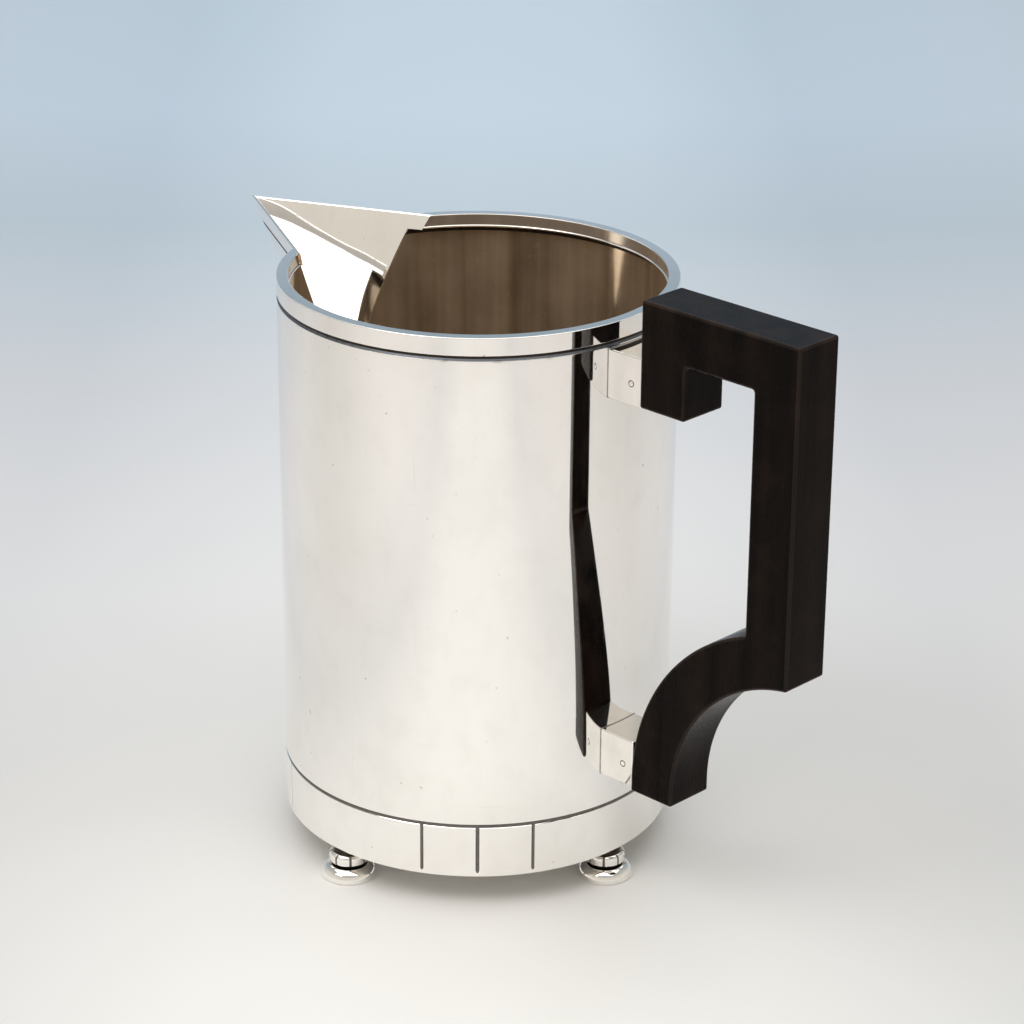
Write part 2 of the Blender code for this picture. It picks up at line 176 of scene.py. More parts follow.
def finish_mesh(builder, name, materials, body="root", replaced=(), sharp=30, chooser=None,
                weighted=True):
    """Clean a bmesh, make it a shaded object, hang it on the frame and let it stand for CAD nodes.

    The chooser gives each face its material, which is the first one where there is no chooser.
    """
    bmesh.ops.remove_doubles(builder, verts=builder.verts, dist=TINY)
    bmesh.ops.dissolve_degenerate(builder, edges=builder.edges, dist=TINY)
    open_edges = [e for e in builder.edges if e.is_boundary]
    if open_edges:
        bmesh.ops.holes_fill(builder, edges=open_edges, sides=0)
    bmesh.ops.recalc_face_normals(builder, faces=builder.faces)
    if chooser:
        for face in builder.faces:
            face.material_index = materials.index(chooser(face))
    mesh = bpy.data.meshes.new(name)
    builder.to_mesh(mesh)
    builder.free()
    for material in materials:
        mesh.materials.append(material)
    mesh.shade_smooth()
    mesh.set_sharp_from_angle(angle=math.radians(sharp))
    piece = bpy.data.objects.new(name, mesh)
    bpy.context.collection.objects.link(piece)
    if weighted:
        normals = piece.modifiers.new("even_normals", "WEIGHTED_NORMAL")
        normals.keep_sharp = True
        normals.weight = 80
    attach(piece, body)
    if replaced:
        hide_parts(*replaced)
    return piece


def around_axis(radius, angle, height):
    return Vector((AXIS_X + radius * math.cos(angle), radius * math.sin(angle), height))


def from_axis(point):
    """Level distance of a point from the pitcher's axis."""
    return math.hypot(point.x - AXIS_X, point.y)


# ---------------------------------------------------------------- spout geometry
TIP = Vector((-SPOUT_TIP_REACH, 0, RIM_Z + SPOUT_TIP_RISE))
KEEL = Vector((-BODY_RADIUS, 0, RIM_Z - SPOUT_KEEL_DEPTH)) - TIP
ROOT = Vector((-BODY_RADIUS * math.cos(SPOUT_ROOT_ANGLE), BODY_RADIUS * math.sin(SPOUT_ROOT_ANGLE),
               RIM_Z + SPOUT_ROOT_RISE))
HEADING = (ROOT - TIP).normalized()
OUTWARD = Vector((-HEADING.y, HEADING.x, 0)).normalized()


def plate_point(down, along, out):
    """A point of the +Y plate: down the keel (0 to 1), along its top edge, out through it."""
    return TIP + KEEL * down + HEADING * along + OUTWARD * out


def run_to_radius(down, out, radius):
    """How far along the heading a plate's face reaches a radius round the pitcher's axis."""
    start = plate_point(down, 0, out)
    a = HEADING.x ** 2 + HEADING.y ** 2
    b = 2 * (start.x * HEADING.x + start.y * HEADING.y)
    c = start.x ** 2 + start.y ** 2 - radius ** 2
    inside = b * b - 4 * a * c
    return (-b - math.sqrt(inside)) / (2 * a) if inside > 0 else 0.0


def down_at_height(height, along):
    """How far down the keel a plate's line lies at a height, after running along the heading."""
    return (height - TIP.z - HEADING.z * along) / KEEL.z


def notch_angle(radius, height):
    """Half angle of the wall's opening behind the spout, at a radius and height.

    The share of the keel and the run along the heading depend on each other, so they are worked
    out in turn until they settle.
    """
    along = 50 * MM
    for _ in range(12):
        down = down_at_height(height, along)
        along = run_to_radius(down, NOTCH_BEHIND, radius)
    point = plate_point(down, along, NOTCH_BEHIND)
    if point.y <= 0 or along <= 0:
        return 0.0
    return math.atan2(point.y, -point.x)


# ---------------------------------------------------------------- body shell
def flute_angles():
    centres = [math.radians(45 + 90 * k) for k in (-2, -1, 0, 1)]
    return [c + k * FLUTE_STEP for c in centres for k in (-1, 0, 1)]


def groove_depth(offset, half, depth):
    """Rounded V section of an engraved line, by distance from its middle."""
    return depth * max(0.0, math.cos(math.pi / 2 * min(1.0, abs(offset) / half))) ** 0.8


def wall_columns():
    """Angles round the wall, from the notch round to the notch, closer together at the flutes."""
    spread = (-1.15, *LINE_SECTION, 1.15)
    fine = [a + s * FLUTE_HALF / BODY_RADIUS for a in flute_angles() for s in spread]
    clear = 1.6 * FLUTE_HALF / BODY_RADIUS
    coarse = [math.tau * i / WALL_COLUMNS - math.pi for i in range(WALL_COLUMNS + 1)]
    coarse = [a for a in coarse if min(abs(a - f) for f in flute_angles()) > clear]
    return sorted(coarse + fine)


def flute_cut(angle, height):
    """Depth of the upright lines at an angle and height: they fade out towards their lower ends."""
    low = BODY_FOOT_Z + FLUTE_END
    if not low <= height <= LINE_Z:
        return 0.0
    offset = min(abs(angle - f) for f in flute_angles()) * BODY_RADIUS
    fade = min(1.0, (height - low) / FLUTE_TAPER)
    return groove_depth(offset, FLUTE_HALF, LINE_DEPTH) * fade


def wall_profile():
    """The wall's section as (radius, height, is the outside), going round it."""
    foot, top = BODY_FOOT_Z, RIM_FOOT_Z
    keel_z = RIM_Z - SPOUT_KEEL_DEPTH
    near_keel = 3 * MM            # rings are closer together this far to either side of the keel's foot
    r = EDGE_ROUND * 1.4
    outer = quarter(BODY_RADIUS - r, foot + r, r, -90, 0)
    outer += smooth_line([(BODY_RADIUS, foot + 1.2 * r), (BODY_RADIUS, foot + FLUTE_END),
                          (BODY_RADIUS, foot + FLUTE_END + FLUTE_TAPER),
                          (BODY_RADIUS, LINE_Z - 1.3 * LINE_HALF)], [1, 4, 3])
    for k in LINE_SECTION:
        outer.append((BODY_RADIUS - groove_depth(k * LINE_HALF, LINE_HALF, LINE_DEPTH),
                      LINE_Z + k * LINE_HALF))
    outer += smooth_line([(BODY_RADIUS, LINE_Z + 1.3 * LINE_HALF), (BODY_RADIUS, keel_z - near_keel),
                          (BODY_RADIUS, keel_z + near_keel), (BODY_RADIUS, top - 1.5 * GROOVE_HEIGHT)],
                         [24, 12, 30])
    outer += [(BODY_RADIUS, top - GROOVE_HEIGHT - GROOVE_LIP),
              (BODY_RADIUS - 0.3 * GROOVE_LIP, top - GROOVE_HEIGHT),
              (BODY_RADIUS - GROOVE_DEPTH, top - 0.60 * GROOVE_HEIGHT),
              (BODY_RADIUS - GROOVE_DEPTH, top)]
    inner = smooth_line([(INNER_RADIUS, top), (INNER_RADIUS, top - SEAM_SHADE),
                         (INNER_RADIUS, keel_z + near_keel), (INNER_RADIUS, keel_z - near_keel),
                         (INNER_RADIUS, foot + 0.4 * MM)], [1, 30, 12, 24])
    inner += [(INNER_RADIUS + 0.3 * MM, foot)]
    return [(rad, z, True) for rad, z in outer] + [(rad, z, False) for rad, z in inner]


def make_body_shell(silver, oxide, inside, painted_shade, groove_shade):
    """The wall, open behind the spout, with its engraved lines and the groove under the collar, and
    shade painted into that groove and onto the wall under the collar's seam.
    """
    columns = wall_columns()
    rings = []
    for radius, height, is_outer in wall_profile():
        opening = notch_angle(radius, height)
        share = (math.pi - opening) / math.pi
        ring = []
        for angle in columns:
            cut = flute_cut(angle, height) if is_outer and radius > BODY_RADIUS - TINY else 0.0
            ring.append(around_axis(radius - cut, angle * share, height))
        rings.append(ring)
    builder = loft(rings, close_rings=False, close_loft=True)
    half_wall = (BODY_RADIUS + INNER_RADIUS) / 2
    engraved = BODY_RADIUS - 0.10 * MM
    groove_floor = BODY_RADIUS - 0.85 * GROOVE_DEPTH

    def choose(face):
        middle = face.calc_center_median()
        radius = from_axis(middle)
        if radius < half_wall:
            # painted shade on the inner wall just under the collar's seam
            return painted_shade if middle.z > RIM_FOOT_Z - SEAM_SHADE else inside
        if middle.z > RIM_FOOT_Z - GROOVE_HEIGHT:
            # painted shade in the groove: near black deep in it, bluish grey on its slope
            return painted_shade if radius < groove_floor else groove_shade
        return oxide if radius < engraved and middle.z > BODY_FOOT_Z + FLUTE_END else silver

    finish_mesh(builder, "body_shell_fine", [silver, oxide, inside, painted_shade, groove_shade],
                replaced=["body_shell"], sharp=35, chooser=choose)


def make_rim_collar(silver, inside, painted_shade):
    """The flat-topped band on the wall's edge, with a bead along its lower inner edge."""
    top, foot = RIM_Z, RIM_FOOT_Z
    inner, r, bead = BODY_RADIUS - RIM_WIDTH, EDGE_ROUND, RIM_BEAD
    under = top - RIM_DEPTH_INSIDE
    step = INNER_RADIUS + 0.02 * MM       # the band's step rests on the wall's inner edge
    profile = quarter(BODY_RADIUS - r * 0.6, foot + r * 0.6, r * 0.6, -90, 0)
    profile += smooth_line([(BODY_RADIUS, foot + r), (BODY_RADIUS, top - 1.3 * r)], [4])
    profile += quarter(BODY_RADIUS - r, top - r, r, 0, 90)
    profile += smooth_line([(BODY_RADIUS - 1.3 * r, top), (inner + 1.3 * r, top)], [3])
    profile += quarter(inner + r, top - r, r, 90, 180)
    profile += smooth_line([(inner, top - 1.3 * r), (inner, under + 2.2 * bead)], [4])
    profile += quarter(inner, under + bead, bead, 70, 270, 10)
    profile += [(inner + bead, under), (step, under), (step, foot)]
    rings = []
    for radius, height in profile:
        half_turn = math.pi - notch_angle(radius, height)
        rings.append([around_axis(radius, (2 * i / WALL_COLUMNS - 1) * half_turn, height)
                      for i in range(WALL_COLUMNS + 1)])
    builder = loft(rings, close_rings=False, close_loft=True)

    def choose(face):
        middle = face.calc_center_median()
        radius = from_axis(middle)
        if middle.z < under + 2 * bead and radius < inner + 0.1 * MM:
            return silver
        # painted shade on the band's leg below the bead
        if middle.z < under - 0.05 * MM and radius < INNER_RADIUS + 0.1 * MM:
            return painted_shade
        underside = middle.z < under + 0.05 * MM and radius < INNER_RADIUS
        return inside if underside or radius < inner + 0.3 * r else silver

    finish_mesh(builder, "rim_collar_fine", [silver, inside, painted_shade],
                replaced=["rim_collar"], chooser=choose)


def disc_profile(height, rise, steps=16):
    """A disc's face as (radius, height), from its raised middle out to its flat edge."""
    return [(INNER_RADIUS * i / steps + 0.1 * TINY, height + rise * (1 - (i / steps) ** 2))
            for i in range(steps + 1)]


def make_base_plate(silver, inside):
    """The disc in the wall's foot, a little hollow on both faces."""
    low, high = base_low.z, base_high.z
    under = disc_profile(low, BASE_HOLLOW_BELOW)
    over = disc_profile(high, -BASE_HOLLOW_ABOVE)
    rings = [[around_axis(radius, math.tau * k / BASE_COLUMNS, height) for k in range(BASE_COLUMNS)]
             for radius, height in under + over[::-1]]

    def choose(face):
        return inside if face.calc_center_median().z > (low + high) / 2 else silver

    finish_mesh(loft(rings), "base_plate_fine", [silver, inside],
                replaced=["base_plate"], chooser=choose)


# ---------------------------------------------------------------- spout plates
def plate_lean(down, along):
    """How far out a plate's faces lie from flat: the top edge leans inward, and the sheet ripples."""
    share = max(0.0, 1 - down * -KEEL.z / PLATE_LEAN_DEPTH)
    ripple = math.sin(along / RIPPLE_SHORT + 11 * down) * math.sin(along / RIPPLE_LONG - 7 * down + 1)
    return PLATE_RIPPLE * ripple - PLATE_LEAN * share ** 3


def plate_ring(down, half, groove, steps=28):
    """One section of a plate at a share of the keel's run: a closed loop of points.

    It runs along the inner face to the soldered end, back along the outer face, and round the nose.
    """
    inside_band = SPOUT_ROOT_RISE + KEEL.z * down > -RIM_DEPTH_INSIDE
    radius = BODY_RADIUS - RIM_WIDTH if inside_band else INNER_RADIUS
    fillet = PLATE_FILLET if inside_band else 0.0
    middle = PLATE_THICKNESS / 2
    face_in, face_out = middle - half, middle + half - groove
    keel_x = (TIP + KEEL * down).x
    nose = keel_x - (SPOUT_TIP_CUT - SPOUT_TIP_REACH) + face_in
    start_in = -face_in * OUTWARD.y / HEADING.y       # the inner face starts on the mirror plane
    start_out = (nose - keel_x - face_out * OUTWARD.x) / HEADING.x + 0.35 * MM
    sides = []
    for out, start, extra in ((face_in, start_in, fillet), (face_out, start_out, 0.0)):
        body = max(start, run_to_radius(down, out, INNER_RADIUS + 0.6 * MM))
        end = max(body, run_to_radius(down, out, radius + PLATE_SINK) + extra)
        runs = [start + (body - start) * i / steps for i in range(steps + 1)] + [end]
        sides.append([plate_point(down, run, out + plate_lean(down, run)) for run in runs])
    ring = sides[0] + sides[1][::-1]
    last = ring[-1]               # from here the nose is rounded back to the mirror plane
    for behind, share in ((0.12 * MM, 0.62), (0.0, 0.25), (0.0, 0.0)):
        ring.append(Vector((nose + behind, last.y * share, last.z)))
    return [Vector((p.x, max(p.y, 0.0), p.z)) for p in ring]


def plate_levels():
    """Sections down a plate as (share of the keel, half thickness, depth of the engraved line).

    They are followed by the engraved line's upper end and its height, as shares of the keel.
    """
    full = PLATE_THICKNESS / 2
    rounding = [(full * (1 - math.sin(math.radians(a))), full * math.cos(math.radians(a)))
                for a in (82, 65, 48, 30, 15, 0)]
    levels = [(drop / -KEEL.z, half, 0.0) for drop, half in rounding]
    band = (RIM_DEPTH_INSIDE + SPOUT_ROOT_RISE) / -KEEL.z
    step = 0.04 * MM / -KEEL.z
    lean = [PLATE_THICKNESS + (PLATE_LEAN_DEPTH - PLATE_THICKNESS) * i / PLATE_LEAN_STEPS
            for i in range(PLATE_LEAN_STEPS + 1)]
    levels += [(drop / -KEEL.z, full, 0.0) for drop in lean if abs(drop / -KEEL.z - band) > 4 * step]
    levels += [(band - step, full, 0.0), (band + step, full, 0.0)]
    line_top = (RIM_Z - RIM_FOOT_Z + SPOUT_TIP_RISE) / -KEEL.z
    line_height = GROOVE_HEIGHT / -KEEL.z
    for place, depth in ((0.0, 0.0), (0.06, 0.8), (0.5, 1.0), (0.8, 0.6), (1.0, 0.0)):
        levels.append((line_top + place * line_height, full, depth * GROOVE_DEPTH * 0.6))
    last, stride = 1.0, 0.002
    while run_to_radius(last, PLATE_THICKNESS, INNER_RADIUS) > 0 and last < KEEL_OVERRUN:
        last += stride
    start = line_top + 1.4 * line_height
    levels += [(start + (last - start) * i / PLATE_LOWER_STEPS, full, 0.0)
               for i in range(PLATE_LOWER_STEPS + 1)]
    return sorted(levels), line_top, line_height


def make_plate(name, side, silver, oxide):
    """Flat triangular plate: sections stepped down the keel, with a rounded top edge."""
    levels, line_top, line_height = plate_levels()
    rings = [[Vector((AXIS_X + p.x, p.y * side, p.z)) for p in plate_ring(*level)] for level in levels]
    builder = loft(rings, caps=True)
    basis = Matrix((KEEL, HEADING, OUTWARD)).transposed().inverted()

    def choose(face):
        middle = face.calc_center_median()
        down, _, out = basis @ (Vector((middle.x - AXIS_X, abs(middle.y), middle.z)) - TIP)
        sunk = 0.55 * PLATE_THICKNESS < out < PLATE_THICKNESS + PLATE_RIPPLE
        return oxide if sunk and line_top < down < line_top + line_height else silver

    finish_mesh(builder, name + "_fine", [silver, oxide], replaced=[name],
                chooser=choose, weighted=False)


# ---------------------------------------------------------------- sockets, pins and handle
def rounded_square(half, radius, steps=4):
    """Corner-rounded square as (y, z) points."""
    points = []
    for quarter_turn in range(4):
        for i in range(steps + 1):
            a = math.radians(90 * quarter_turn + 90 * i / steps)
            cy = (half - radius) * (1 if quarter_turn in (0, 3) else -1)
            cz = (half - radius) * (1 if quarter_turn in (0, 1) else -1)
            points.append((cy + radius * math.cos(a), cz + radius * math.sin(a)))
    return points


def spaced(outline, steps):
    """The outline with more points along each of its straight runs."""
    pairs = zip(outline, outline[1:] + outline[:1])
    return [(a[0] + (b[0] - a[0]) * i / steps, a[1] + (b[1] - a[1]) * i / steps)
            for a, b in pairs for i in range(steps)]


def make_socket(name, silver, solder):
    """Square socket with eased edges, and the fine solder line where it meets the wall."""
    low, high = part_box(name)
    middle_z = (low.z + high.z) / 2
    half = (high.z - low.z) / 2
    end = high.x + CAD_GAP
    start = AXIS_X + (BODY_RADIUS ** 2 - half ** 2) ** 0.5 - SOCKET_SINK
    lip = SOCKET_LIP
    stations = [(start, 0.0), (start + SOCKET_SINK, 0.0), (end - 2 * lip, 0.0), (end - lip, 0.0),
                (end - 0.62 * lip, 0.08 * lip), (end - 0.29 * lip, 0.29 * lip),
                (end - 0.08 * lip, 0.62 * lip), (end, lip)]
    rings = []
    for x, inset in stations:
        outline = rounded_square(half - inset, SOCKET_EDGE - inset / 2)
        rings.append([Vector((x, y, middle_z + z)) for y, z in outline])
    finish_mesh(loft(rings, caps=True), name + "_fine", [silver], replaced=[name])

    seam = []
    for out, proud in ((-SOLDER_WIDTH, SOLDER_PROUD), (0.6 * SOLDER_WIDTH, SOLDER_PROUD),
                       (SOLDER_WIDTH, -SOLDER_PROUD)):
        outline = spaced(rounded_square(half + proud, SOCKET_EDGE), 8)
        seam.append([Vector((AXIS_X + math.sqrt(BODY_RADIUS ** 2 - y ** 2) + out, y, middle_z + z))
                     for y, z in outline])
    finish_mesh(loft(seam, caps=True), name + "_solder", [solder])


def make_pin(name, silver, painted_shade):
    """Domed pin head on each side of a socket, in a fine ring of painted shade."""
    low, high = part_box(name)
    x, z = (low.x + high.x) / 2, (low.z + high.z) / 2
    radius, reach = (high.x - low.x) / 2 - PIN_EASE, (high.y - low.y) / 2
    socket_low, socket_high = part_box(name.replace("pin", "socket"))
    face = (socket_high.y - socket_low.y) / 2
    skin = 0.02 * MM              # the ring lies this far above the socket's face
    dome = [(radius * math.sin(math.radians(a)), face + (reach - face) * math.cos(math.radians(a)))
            for a in (1, 15, 30, 45, 60, 72, 82, 90)]
    ring = [(radius, face + 0.01 * MM), (radius + 0.01 * MM, face + skin),
            (radius + PIN_SHADE_RING, face + skin), (radius + PIN_SHADE_RING, face - 0.10 * MM)]
    turns = [math.tau * k / PIN_COLUMNS for k in range(PIN_COLUMNS)]

    def choose(mesh_face):
        middle = mesh_face.calc_center_median()
        # outside the head: painted shade
        return painted_shade if math.hypot(middle.x - x, middle.z - z) > radius else silver

    for side in (-1, 1):
        rings = [[Vector((x + r * math.cos(turn), side * y, z + r * math.sin(turn))) for turn in turns]
                 for r, y in dome + ring]
        finish_mesh(loft(rings, caps=True), "%s_head_%s" % (name, "left" if side < 0 else "right"),
                    [silver, painted_shade], replaced=[name] if side < 0 else (), chooser=choose)


def arc(cx, cz, radius, start, end, steps):
    return [(cx + radius * math.cos(start + (end - start) * i / steps),
             cz + radius * math.sin(start + (end - start) * i / steps)) for i in range(steps + 1)]


def handle_outline():
    """Side view of the handle as (x, z), from the CAD piece's box and the thickness of its parts."""
    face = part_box("upper_socket")[1].x + CAD_GAP
    out, top, bottom = handle_high.x, handle_high.z, handle_low.z
    cx, cz = face + SWEEP_OUTER, RIM_Z - SWEEP_BELOW_RIM
    grip_inner = out - HANDLE_GRIP
    hook_outer, hook_bottom = face + HANDLE_HOOK, RIM_Z - HOOK_BELOW_RIM
    outline = [(face, hook_bottom), (hook_outer, hook_bottom), (hook_outer, top - HANDLE_BAR),
               (grip_inner, top - HANDLE_BAR)]
    outline += arc(cx, cz, SWEEP_OUTER, math.acos((grip_inner - cx) / SWEEP_OUTER), math.pi, SWEEP_STEPS)
    outline += [(face, bottom), (face + HANDLE_BAR, bottom)]
    outline += arc(cx, cz, SWEEP_INNER, math.pi, math.acos((out - cx) / SWEEP_INNER), SWEEP_STEPS)
    outline += [(out, top), (face, top)]
    return outline


def make_handle(ebony, edge_highlight):
    """The handle as one slab cut to its side view, its edges rounded, with a lighter and glossier
    material on the rounding as a painted highlight.
    """
    half = (handle_high.y - handle_low.y) / 2
    rings = [[Vector((x, y, z)) for x, z in handle_outline()] for y in (-half, half)]
    materials = [ebony, edge_highlight]
    piece = finish_mesh(loft(rings, caps=True), "handle_fine", materials,
                        replaced=["handle"], weighted=False)
    rounding = piece.modifiers.new("edge_rounding", "BEVEL")
    rounding.width = HANDLE_EDGE
    rounding.segments = 4
    rounding.limit_method = "ANGLE"
    rounding.angle_limit = math.radians(35)
    rounding.miter_outer = "MITER_ARC"
    rounding.harden_normals = True
    # the rounded edges get the lighter material: a painted highlight
    rounding.material = materials.index(edge_highlight)


# ---------------------------------------------------------------- feet
def turned_rings(centre, profile, columns, cut=None):
    """Rings of a turned piece round an upright axis, cut in by a depth that depends on the angle."""
    rings = []
    for radius, height in profile:
        ring = []
        for k in range(columns):
            angle = math.tau * k / columns
            r = radius - (cut(angle) if cut else 0.0)
            ring.append(Vector((centre.x + r * math.cos(angle), centre.y + r * math.sin(angle), height)))
        rings.append(ring)
    return rings


def make_bell(name, silver):
    """The foot's lower part: a low dome on the floor with a rounded edge."""
    low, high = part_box(name)
    reach = (high.y - low.y) / 2
    rise = high.z - BELL_EDGE
    profile = [(TINY, 0.0), (reach - 1.3 * MM, 0.0)]
    profile += quarter(reach - BELL_ROUND, BELL_ROUND, BELL_ROUND, -90, 0, 5)
    for i in range(17):
        a = math.radians(90 * i / 16)
        profile.append((FOOT_NECK + (reach - FOOT_NECK) * math.cos(a), BELL_EDGE + rise * math.sin(a)))
    cap = high.z + 0.02 * MM
    profile += [(FOOT_NECK - 0.3 * MM, high.z), (FOOT_NECK - 0.6 * MM, cap), (TINY, cap)]
    finish_mesh(loft(turned_rings((low + high) / 2, profile, 96)), name + "_fine", [silver],
                replaced=[name])


def make_drum(name, centre, turn, silver, oxide, painted_shade):
    """The foot's upper part: a short round drum with upright engraved lines."""
    drum_low, drum_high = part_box(name)
    radius = (drum_high.y - drum_low.y) / 2
    low, high = drum_low.z, drum_high.z
    profile = [(TINY, low), (radius - 3 * DRUM_EDGE, low)]
    profile += quarter(radius - DRUM_EDGE, low + DRUM_EDGE, DRUM_EDGE, -90, 0, 6)
    profile += quarter(radius - DRUM_SHOULDER, high - DRUM_SHOULDER, DRUM_SHOULDER, 0, 90, 8)
    profile += [(radius - 1.6 * DRUM_SHOULDER, high), (TINY, high)]

    def line_cut(angle):
        step = math.tau / DRUM_LINES
        offset = abs((angle - turn + step / 2) % step - step / 2) * radius
        return groove_depth(offset, DRUM_LINE_HALF, DRUM_LINE_DEPTH)

    def choose(face):
        middle = face.calc_center_median()
        # the drum's underside is painted shade
        if middle.z < low + 0.1 * MM:
            return painted_shade
        angle = math.atan2(middle.y - centre.y, middle.x - centre.x)
        return oxide if line_cut(angle) > 0.08 * MM and middle.z < high - 0.1 * MM else silver

    finish_mesh(loft(turned_rings(centre, profile, 384, line_cut)), name + "_fine",
                [silver, oxide, painted_shade], replaced=[name], sharp=45, chooser=choose)


def make_stem(name, centre, neck_low, drum_low, drum_high, painted_shade):
    """The neck between bell and drum, the spigot in the drum and the flange on top of it, all dark with
    painted shade.
    """
    waist = FOOT_NECK - 0.6 * MM
    neck_high, flange_low = drum_low + 0.2 * MM, drum_high - 0.1 * MM
    profile = [(TINY, neck_low), (waist, neck_low), (waist, neck_high), (STEM_RADIUS, neck_high),
               (STEM_RADIUS, flange_low), (STEM_FLANGE - STEM_ROUND, flange_low)]
    profile += quarter(STEM_FLANGE - STEM_ROUND, drum_high + 0.2 * MM, STEM_ROUND, -90, 0, 3)
    profile += [(STEM_FLANGE, BODY_FOOT_Z), (TINY, BODY_FOOT_Z)]
    finish_mesh(loft(turned_rings(centre, profile, 64)), name + "_fine", [painted_shade],
                replaced=[name])


def make_foot(number, silver, oxide, painted_shade):
    """One foot: a bell on the floor, a drum above it, and a stem up to the base."""
    bell, drum, stem = ("foot_%s_%d" % (kind, number) for kind in ("bell", "drum", "stem"))
    bell_low, bell_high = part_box(bell)
    drum_low, drum_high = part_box(drum)
    centre = (bell_low + bell_high) / 2
    make_bell(bell, silver)
    make_drum(drum, centre, math.radians(DRUM_TURNS[number - 1]), silver, oxide, painted_shade)
    make_stem(stem, centre, bell_high.z, drum_low.z, drum_high.z, painted_shade)


# ---------------------------------------------------------------- materials
def new_material(name):
    material = bpy.data.materials.new(name)
    material.use_nodes = True
    tree = material.node_tree
    return material, tree, tree.nodes["Principled BSDF"]


def add(tree, kind, **settings):
    """New node with its properties set. A setting that starts with in_ is an input's value."""
    node = tree.nodes.new(kind)
    for key, value in settings.items():
        if key.startswith("in_"):
            node.inputs[key[3:].replace("_", " ")].default_value = value
        else:
            setattr(node, key, value)
    return node


def stretched_noise(tree, scale, stretch, rotation=(0, 0, 0), detail=2.0):
    """Noise on the object's own coordinates, stretched by a factor along each axis."""
    where = add(tree, "ShaderNodeTexCoord")
    mapping = add(tree, "ShaderNodeMapping", in_Scale=stretch, in_Rotation=rotation)
    noise = add(tree, "ShaderNodeTexNoise", in_Scale=scale, in_Detail=detail)
    tree.links.new(where.outputs["Object"], mapping.inputs["Vector"])
    tree.links.new(mapping.outputs["Vector"], noise.inputs["Vector"])
    return noise.outputs["Fac"]


def remap(tree, value, low, high, to_low, to_high):
    """The value moved from one range to another, and kept inside it. Inputs 1 to 4 are the limits."""
    node = add(tree, "ShaderNodeMapRange")
    for index, number in ((1, low), (2, high), (3, to_low), (4, to_high)):
        node.inputs[index].default_value = number
    tree.links.new(value, node.inputs[0])
    return node.outputs[0]


def combine(tree, operation, a, b):
    """A sum, product or the like of two values, each a socket or a plain number."""
    node = add(tree, "ShaderNodeMath", operation=operation)
    for index, value in enumerate((a, b)):
        if isinstance(value, (int, float)):
            node.inputs[index].default_value = value
        else:
            tree.links.new(value, node.inputs[index])
    return node.outputs[0]


def weighted_sum(tree, a, share_a, b, share_b):
    return combine(tree, "ADD", combine(tree, "MULTIPLY", a, share_a),
                   combine(tree, "MULTIPLY", b, share_b))


def tint(tree, factor, colour_a, colour_b):
    """One colour where the factor is 0, another where it is 1."""
    node = add(tree, "ShaderNodeMix", data_type="RGBA")
    node.inputs["A"].default_value = (*colour_a, 1)
    node.inputs["B"].default_value = (*colour_b, 1)
    tree.links.new(factor, node.inputs["Factor"])
    return node.outputs["Result"]


def ramp(tree, value, stops):
    """Colour by a value: stops are (value, colour) pairs in rising order."""
    low, high = stops[0][0], stops[-1][0]
    node = add(tree, "ShaderNodeValToRGB")
    tree.links.new(remap(tree, value, low, high, 0, 1), node.inputs["Fac"])
    elements = node.color_ramp.elements
    while len(elements) < len(stops):
        elements.new(1.0)
    for element, (place, colour) in zip(elements, stops):
        element.position = (place - low) / (high - low)
        element.color = (*colour, 1)
    return node.outputs["Color"]


def bump(tree, height, strength, distance):
    node = add(tree, "ShaderNodeBump")
    node.inputs["Strength"].default_value = strength
    node.inputs["Distance"].default_value = distance
    tree.links.new(height, node.inputs["Height"])
    return node


# how tarnished a spot is (0 clean, 0.6 filmed over, 1 a speck), and the silver's colour there
SOCKET_TONES = ((0.0, (0.925, 0.905, 0.885)), (0.6, (0.83, 0.805, 0.775)), (1.0, (0.60, 0.57, 0.54)))
SILVER_TONES = ((0.0, (0.982, 0.958, 0.926)), (0.6, (0.905, 0.876, 0.835)), (1.0, (0.66, 0.63, 0.60)))


def silver_material(name, tones):
    """Mirror-polished silver: faint hairlines, soft smudges, specks and a slightly wavy surface."""
    material, tree, shader = new_material(name)
    shader.inputs["Metallic"].default_value = 1.0
    smudges = remap(tree, stretched_noise(tree, 38, (1, 1, 1), detail=4), 0.48, 0.72, 0.0, 1.0)
    mottle = remap(tree, stretched_noise(tree, 170, (1, 1, 0.6), detail=3), 0.50, 0.75, 0.0, 1.0)
    hair_a = remap(tree, stretched_noise(tree, 900, (1, 1, 0.035), (0.25, 0.12, 0)), 0.68, 0.80, 0, 1)
    hair_b = remap(tree, stretched_noise(tree, 800, (0.05, 0.05, 1), (0.12, -0.3, 0.1)),
                   0.70, 0.82, 0, 1)
    specks = remap(tree, stretched_noise(tree, 520, (1, 1, 1), detail=1), 0.75, 0.82, 0, 1)
    hairs = combine(tree, "MAXIMUM", hair_a, hair_b)
    marks = combine(tree, "ADD", hairs, specks)
    film = weighted_sum(tree, smudges, 0.55, mottle, 0.45)
    rough = combine(tree, "ADD", remap(tree, film, 0, 1, 0.035, 0.075),
                    combine(tree, "MULTIPLY", marks, 0.06))
    tree.links.new(rough, shader.inputs["Roughness"])
    dark_marks = combine(tree, "MAXIMUM", combine(tree, "MULTIPLY", hairs, 0.42), specks)
    tarnish = combine(tree, "MAXIMUM", combine(tree, "MULTIPLY", film, 0.6), dark_marks)
    colour = ramp(tree, tarnish, tones)
    tree.links.new(colour, shader.inputs["Base Color"])
    waves = bump(tree, stretched_noise(tree, 45, (1, 1, 0.5), detail=1), 0.06, 0.0004)
    fine = bump(tree, marks, 0.04, 0.00002)
    tree.links.new(waves.outputs["Normal"], fine.inputs["Normal"])
    tree.links.new(fine.outputs["Normal"], shader.inputs["Normal"])
    return material


